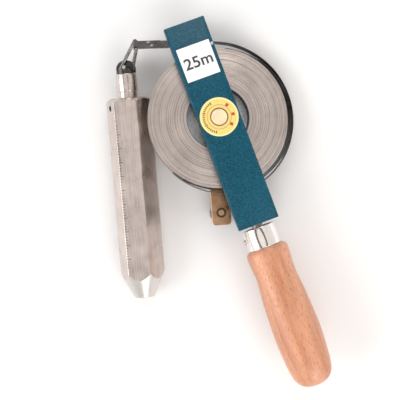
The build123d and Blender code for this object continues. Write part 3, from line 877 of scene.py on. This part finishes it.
class DIPTAPE_OT_fold(Operator):
    """Builds the tape's end, folded round the link's bar and riveted to itself"""
    bl_idname = "diptape.fold"
    bl_label = "Folded end"

    def execute(self, context):
        _, tail, _, width, eye = tail_frame()
        inward = width.cross(tail)
        bend = LINK_WIRE_R + 0.5
        thick, gap = size("ribbon"), 0.05
        end = eye - tail * EYE_BACK
        points = [end + tail * x - inward * (thick + gap) for x in (-16.0, -8.0, -1.6)]
        start, turn, steps = 194, 330, 24
        for step in range(steps + 1):
            angle = math.radians(start + turn * step / steps)
            points.append(eye + (tail * math.cos(angle) + inward * math.sin(angle)) * bend)
        fold = ribbon(points, [width] * len(points), thick)
        new_piece("folded_end", fold, REEL, "frame", blued_tape("blued_fold"),
                  ["tape_fold"])
        rivets = []
        dome = [(0, 0.62), (0.5, 0.58), (0.95, 0.42), (1.22, 0.2), (1.3, 0.0), (1.3, -0.35), (0, -0.35)]
        face = Matrix((tail, -inward.cross(tail), -inward)).transposed().to_4x4()
        for reach, over in ((-7.0, -2.4), (-9.4, 2.0)):
            rivet = turned(dome, 32)
            spot = end + tail * reach + width * over - inward * (1.5 * thick + gap)
            rivet.transform(Matrix.Translation(spot) @ face)
            rivets.append(rivet)
        new_piece("fold_rivet_heads", join(*rivets), REEL, "frame",
                  metal("blued_rivet", (0.42, 0.4, 0.38), 0.3), ["fold_rivets"])
        return {"FINISHED"}


class DIPTAPE_OT_link(Operator):
    """Builds the twisted wire link between the tape and the bob"""
    bl_idname = "diptape.link"
    bl_label = "Link"

    def execute(self, context):
        link = joint("link_swing")
        up_bob = -Vector(joint("sleeve_slide")["axis"])
        eye = Vector(link["pos_m"]) / MM
        bar_way = Vector(link["axis"])
        pin = Vector(joint("bob_swing")["pos_m"]) / MM
        narrow_way = up_bob.cross(Vector((0, 0, 1)))
        narrow = pin - up_bob * LINK_REACH
        corners = [eye + bar_way * LINK_WIDE, eye - bar_way * LINK_WIDE,
                   narrow - narrow_way * LINK_NARROW, narrow + narrow_way * LINK_NARROW]
        bm = wire(rounded(corners, LINK_ROUND, 8), LINK_WIRE_R, 5, closed=True)
        new_piece("wire_link", bm, Matrix.Identity(4), "link",
                  metal("link_wire", (0.3, 0.28, 0.27), 0.24, wear=0.2), ["hook_link"], sharp=50)
        return {"FINISHED"}


# ---- crank and drum -----------------------------------------------------------------


class DIPTAPE_OT_knob(Operator):
    """Builds the crank's turned knob"""
    bl_idname = "diptape.knob"
    bl_label = "Crank knob"

    def execute(self, context):
        low, high = extent("crank_knob", REEL)
        middle = (low + high) / 2
        bore, rim = 2.5, 1.6
        bm = turned(ring_outline(bore, (high.x - low.x) / 2, low.z, high.z, rim), 72)
        bm.transform(Matrix.Translation((middle.x, middle.y, 0)))
        new_piece("turned_knob", bm, REEL, "knob",
                  black_gloss("black_knob", REEL), ["crank_knob"], sharp=50)
        return {"FINISHED"}


# ---- handle -------------------------------------------------------------------------


class DIPTAPE_OT_handle(Operator):
    """Builds the ferrule, its slotted screw and the turned beech grip"""
    bl_idname = "diptape.handle"
    bl_label = "Handle"

    def execute(self, context):
        low, high = extent("ferrule", REEL)
        rim, radius, long = -high.y, high.x, high.y - low.y
        inner = radius - FERRULE_WALL
        outline = [(inner, 0.3), (inner + 0.15, 0.06), (radius - 0.35, 0.0), (radius - 0.1, 0.12),
                   (radius, 0.42), (radius, long - 0.7), (radius - 0.1, long - 0.3),
                   (radius - 0.35, long), (inner, long), (inner, 0.3)]
        new_piece("chrome_ferrule", turned(outline, 128), along_handle(rim), "frame",
                  metal("ferrule_chrome", (0.95, 0.91, 0.87), 0.12, wear=0.03), ["ferrule"])

        low, high = extent("ferrule_screw", REEL)
        head, rise = (high.y - low.y) / 2, 1.4
        dome = [(0, rise), (head * 0.45, 1.36), (head * 0.8, 1.1), (head * 0.96, 0.7), (head, 0.0),
                (head, -0.4), (0, -0.4)]
        screw = turned(dome, 48)
        for turn in (20, 110):
            slot = bmesh.new()
            across = Matrix.Rotation(math.radians(turn), 4, "Z")
            bmesh.ops.create_cube(slot, size=1.0, matrix=across @ Matrix.Translation((0, 0, rise - 0.1))
                                  @ Matrix.Diagonal((2.2, 0.5, 1.4, 1)))
            screw = carve(screw, slot)
        place = (REEL @ Matrix.Translation(((low.x + rise) * MM, (low.y + high.y) / 2 * MM, 0))
                 @ Matrix.Rotation(-math.pi / 2, 4, "Y"))
        new_piece("ferrule_screw_head", screw, place, "frame",
                  metal("screw_steel", (0.62, 0.58, 0.54), 0.28), ["ferrule_screw"])

        outline = [*GRIP_SOCKET, *smooth_line(GRIP, 6)]
        new_piece("beech_grip", turned(outline, 128), along_handle(rim), "frame", beech(),
                  ["handle_grip"])
        return {"FINISHED"}


# ---- labels -------------------------------------------------------------------------


def disc_print(name, marks, reach, material):
    """Thin printed blocks round the disc; a mark is (degrees, length outwards, width)."""
    height = extent("maker_disc", REEL)[1].z
    bm = bmesh.new()
    for degrees, long, wide in marks:
        place = (Matrix.Rotation(math.radians(degrees), 4, "Z")
                 @ Matrix.Translation((reach, 0, height + INK / 2)))
        bmesh.ops.create_cube(bm, size=1.0, matrix=place @ Matrix.Diagonal((long, wide, INK, 1)))
    new_piece(name, bm, REEL, "frame", material)


class DIPTAPE_OT_labels(Operator):
    """Prints the tape's length, and plain marks on the round label"""
    bl_idname = "diptape.labels"
    bl_label = "Labels"

    def execute(self, context):
        low, high = extent("length_label", REEL)
        tall, half_ink = 8.2, 0.03
        text = bpy.data.curves.new("length", "FONT")
        text.body = "25m"
        text.size = 10.0
        text.extrude = half_ink
        text.offset = 0.17
        text.align_x = "CENTER"
        bm = as_bmesh(text)
        xs = [v.co.x for v in bm.verts]
        ys = [v.co.y for v in bm.verts]
        stretch = Matrix.Diagonal((size("letters") / (max(xs) - min(xs)), tall / (max(ys) - min(ys)), 1, 1))
        middle = Vector(((max(xs) + min(xs)) / 2, (max(ys) + min(ys)) / 2, 0))
        label = (low + high) / 2
        bm.transform(Matrix.Translation((label.x, label.y, high.z + half_ink)) @ stretch
                     @ Matrix.Translation(-middle))
        new_piece("length_print", bm, REEL, "frame", flat_ink("dark_ink", hue("ink")),
                  sharp=32)

        count, long_every = 18, 6
        ticks = [(104 + 135 * i / count, 1.3 if i % long_every else 2.0, 0.8) for i in range(count + 1)]
        disc_print("disc_marks", ticks, 11.0, flat_ink("brown_ink", (0.2, 0.1, 0.04)))
        dashes = [(degrees, 2.3, 2.1) for degrees in (37, -8, -50)]
        disc_print("disc_dashes", dashes, 10.0, flat_ink("red_ink", (0.5, 0.06, 0.04)))
        return {"FINISHED"}


# ---- bob ----------------------------------------------------------------------------


class DIPTAPE_OT_bob(Operator):
    """Builds the hexagonal plumb bob, the spring in its sleeve and the sleeve"""
    bl_idname = "diptape.bob"
    bl_label = "Plumb bob"

    def execute(self, context):
        high = extent("bob_body", BOB)[1]
        half, neck_end = high.x, high.z
        corner = half / math.cos(math.radians(30))
        hexagon = bmesh.new()
        bmesh.ops.create_circle(hexagon, cap_ends=True, segments=6, radius=corner)
        pull(hexagon, bmesh.ops.extrude_face_region(hexagon, geom=hexagon.faces[:]), (0, 0, neck_end))
        bmesh.ops.recalc_face_normals(hexagon, faces=hexagon.faces)
        long_edges = [e for e in hexagon.edges if abs(e.verts[0].co.z - e.verts[1].co.z) > 1]
        bmesh.ops.bevel(hexagon, geom=long_edges, offset=0.3, segments=2, profile=0.5,
                        affect="EDGES", material=-1)
        wide = corner + 1.0
        shoulder = quarter((wide - SHOULDER_IN, BODY_L - SHOULDER_L), SHOULDER_IN, SHOULDER_L, 12)[:-1]
        outline = [(0, 0), (TIP_R - 0.4, 0), (TIP_R + 0.1, 0.4), (wide, (wide - TIP_R) / TIP_SLOPE),
                   *shoulder, (wide - SHOULDER_IN - 0.4, BODY_L), (NECK_R, BODY_L), (NECK_R, neck_end),
                   (0, neck_end)]
        bm = carve(hexagon, turned(outline, 160), "INTERSECT")
        way = around(1.0, -60)
        bore = bar(HOLE_R, -HOLE_DEEP, 4.0)
        bore.transform(Matrix.Translation(way * half + Vector((0, 0, BODY_L - HOLE_DOWN)))
                       @ way.to_track_quat("Z", "Y").to_matrix().to_4x4())
        skirt = ring_outline(SKIRT_IN, SKIRT_OUT, BODY_L - 0.4, BODY_L + SKIRT_L, 0.1)
        bm = join(carve(bm, bore), turned(skirt, 96))
        new_piece("hexagonal_bob", bm, BOB, "bob", bob_steel(), ["bob_body"], sharp=20)

        low, high = extent("sleeve_spring", BOB)
        wire_r, coils, steps = 0.4, 4.1, 100
        first, last = low.z + wire_r, high.z - wire_r
        line = [around(high.x - wire_r, 360 * coils * i / steps, first + (last - first) * i / steps)
                for i in range(steps + 1)]
        spring = new_piece("coiled_spring", wire(line, wire_r, 3, closed=False), BOB, "bob",
                           metal("spring_steel", (0.5, 0.48, 0.46), 0.3, BOB), ["sleeve_spring"], sharp=50)
        travel = joint("sleeve_slide")["range_m"][1] / MM
        long = high.z - low.z
        (long - travel - 0.1) / long
        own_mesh(spring)

        low, high = extent("coupling_sleeve", BOB)
        outer = ring_outline(SLEEVE_BORE, high.x, low.z, high.z, size("round_over"))
        step_z = low.z + SPRING_BORE_L
        outline = [(r, z) for r, z in outer if r > SPRING_BORE + 0.1]
        outline += [(SLEEVE_BORE + 0.25, high.z), (SLEEVE_BORE, high.z - 0.25), (SLEEVE_BORE, step_z),
                    (SPRING_BORE, step_z), (SPRING_BORE, low.z), outline[0]]
        new_piece("polished_sleeve", turned(outline, 96), BOB, "sleeve",
                  metal("sleeve_steel", (0.7, 0.62, 0.58), 0.26, BOB, wear=0.08), ["coupling_sleeve"],
                  sharp=50)
        return {"FINISHED"}


# ---- carried-over nodes -------------------------------------------------------------


class DIPTAPE_OT_finishes(Operator):
    """Gives the nodes that keep their shapes their finishes"""
    bl_idname = "diptape.finishes"
    bl_label = "Finishes"

    def execute(self, context):
        steel = metal("bright_steel", (0.6, 0.58, 0.56), 0.3)
        blocks = metal("block_steel", (0.42, 0.41, 0.4), 0.4)
        brass = metal("bush_brass", (0.72, 0.5, 0.22), 0.32)
        head = metal("rivet_steel", (0.66, 0.66, 0.66), 0.3)
        pairs = {
            "rear_cheek": hammered_paint("hammered_teal_bar"), "end_block": blocks, "handle_tang": blocks,
            "top_spacer": steel, "guide_pin": steel, "front_bush": brass, "rear_bush": brass,
            "length_label": paper_label(), "maker_disc": gold_disc(),
            "axle": metal("axle_plating", (0.93, 0.76, 0.5), 0.5, wear=0.06, metallic=0.5),
            "drum_plate": speckled_zinc(), "drum_hub": hub_steel(),
            "drum_rivets": head, "anchor_screw": head, "crank_nut": head,
            "crank_arm": metal("yellow_plating", hue("yellow_zinc"), 0.34, wear=0.1),
            "knob_spindle": metal("spindle_plating", (0.85, 0.6, 0.38), 0.25, wear=0.08),
            # painted shade: the washer is dark brown to stand for the shade round the spindle's head
            "spindle_washer": metal("dark_washer", (0.2, 0.11, 0.06), 0.4),
            "stop_ring": metal("stop_steel", (0.5, 0.47, 0.45), 0.35, BOB),
            "hook_head": black_gloss("black_head", BOB),
            "cross_pin": metal("pin_steel", (0.6, 0.58, 0.56), 0.3, BOB),
        }
        for node, material in pairs.items():
            finish_node(node, material)
        return {"FINISHED"}


# ---- stage --------------------------------------------------------------------------

# the room's colour from the horizon (0) to straight overhead (1)
SKY = ((0.0, (0.85, 0.85, 0.85)), (0.55, (0.8, 0.78, 0.76)), (0.85, (0.85, 0.82, 0.8)),
       (0.88, (0.1, 0.07, 0.06)), (0.925, (0.1, 0.07, 0.06)), (0.95, (0.9, 0.87, 0.85)),
       (1.0, (0.94, 0.9, 0.88)))

# name, place, size, power and colour
LAMPS = (("near_window", (0.25, -1.0, 0.85), (1.3, 0.8), 9.5, (1.0, 0.98, 0.95)),
         ("left_window", (-1.0, 0.1, 0.75), (0.9, 0.7), 6.5, (0.97, 0.98, 1.0)),
         ("far_window", (0.5, 0.9, 0.9), (0.8, 0.6), 4.5, (1.0, 1.0, 1.0)))

FLOOR_HALF = 3.0
CAMERA_SPOT = (0.10474, 0.06645, 0.7643)
CAMERA_TURNS = ((8.45, "Y"), (-3.98, "X"), (-21.13, "Z"))     # degrees, in this order


def lamp(name, place, size_m, power, tint):
    """A soft rectangular lamp aimed at the row's middle."""
    light = bpy.data.lights.new(name, "AREA")
    light.shape = "RECTANGLE"
    light.size, light.size_y = size_m
    light.energy = power
    light.color = tint
    holder = add_object(name, light)
    holder.location = place
    holder.rotation_euler = (-Vector(place)).to_track_quat("-Z", "Y").to_euler()


class DIPTAPE_OT_stage(Operator):
    """Sets the pale floor, the soft lights and the camera"""
    bl_idname = "diptape.stage"
    bl_label = "Stage"

    def execute(self, context):
        bm = bmesh.new()
        bmesh.ops.create_grid(bm, x_segments=8, y_segments=8, size=FLOOR_HALF)
        mesh = bpy.data.meshes.new("pale_floor")
        bm.to_mesh(mesh)
        bm.free()
        floor = add_object("pale_floor", mesh)
        finish = Finish("pale_floor", roughness=0.9)
        blotch = finish.noise(finish.object_spot(), 3.0)
        base = finish.ramp(blotch, [(0.3, (0.81, 0.81, 0.81)), (0.7, (0.83, 0.83, 0.83))])
        mesh.materials.append(finish.done(base))

        world = bpy.data.worlds.new("soft_room")
        context.scene.world = world
        context.scene.view_settings.view_transform = "Standard"
        world.use_nodes = True
        room = Nodes(world.node_tree, "Background")
        way = room.node("ShaderNodeTexCoord", {}, {}, "Generated")
        height = room.node("ShaderNodeSeparateXYZ", {}, {"Vector": way}, "Z")
        room.set(color=room.ramp(height, SKY), strength=1.0)
        for settings in LAMPS:
            lamp(*settings)

        camera = bpy.data.cameras.new("camera")
        camera.lens = 94.4
        camera.sensor_width = 36.0
        camera.clip_start, camera.clip_end = 0.01, 20.0
        holder = add_object("camera", camera)
        place = Matrix.Translation(CAMERA_SPOT)
        for degrees, axis in CAMERA_TURNS:
            place = place @ Matrix.Rotation(math.radians(degrees), 4, axis)
        holder.matrix_world = place
        context.scene.camera = holder
        return {"FINISHED"}


# ---- add-on -------------------------------------------------------------------------

STEPS = (DIPTAPE_OT_cheek, DIPTAPE_OT_coil, DIPTAPE_OT_lead, DIPTAPE_OT_fold, DIPTAPE_OT_link,
         DIPTAPE_OT_knob, DIPTAPE_OT_handle, DIPTAPE_OT_labels, DIPTAPE_OT_bob, DIPTAPE_OT_finishes,
         DIPTAPE_OT_stage)


class DIPTAPE_PT_panel(Panel):
    """Lists the dip tape's pieces, sizes and colours"""
    bl_idname = "DIPTAPE_PT_panel"
    bl_label = "Dip Tape"
    bl_space_type = "VIEW_3D"
    bl_region_type = "UI"
    bl_category = "Dip Tape"

    def draw(self, context):
        column = self.layout.column()
        for group in (context.scene.dip_tape_sizes, context.scene.dip_tape_colours):
            for name in group.__annotations__:
                column.prop(group, name)
        for step in STEPS:
            column.operator(step.bl_idname)


CLASSES = (DipTapeSizes, DipTapeColours, *STEPS, DIPTAPE_PT_panel)


def register():
    """Adds the classes and the scene's properties."""
    for cls in CLASSES:
        bpy.utils.register_class(cls)
    bpy.types.Scene.dip_tape_sizes = PointerProperty(type=DipTapeSizes)
    bpy.types.Scene.dip_tape_colours = PointerProperty(type=DipTapeColours)


def unregister():
    """Takes them away again."""
    del bpy.types.Scene.dip_tape_colours
    del bpy.types.Scene.dip_tape_sizes
    for cls in reversed(CLASSES):
        bpy.utils.unregister_class(cls)


def main():
    """Builds the whole tape."""
    register()
    bpy.ops.diptape.cheek()
    bpy.ops.diptape.coil()
    bpy.ops.diptape.lead()
    bpy.ops.diptape.fold()
    bpy.ops.diptape.link()
    bpy.ops.diptape.knob()
    bpy.ops.diptape.handle()
    bpy.ops.diptape.labels()
    bpy.ops.diptape.bob()
    bpy.ops.diptape.finishes()
    bpy.ops.diptape.stage()


if __name__ == "__main__":
    main()
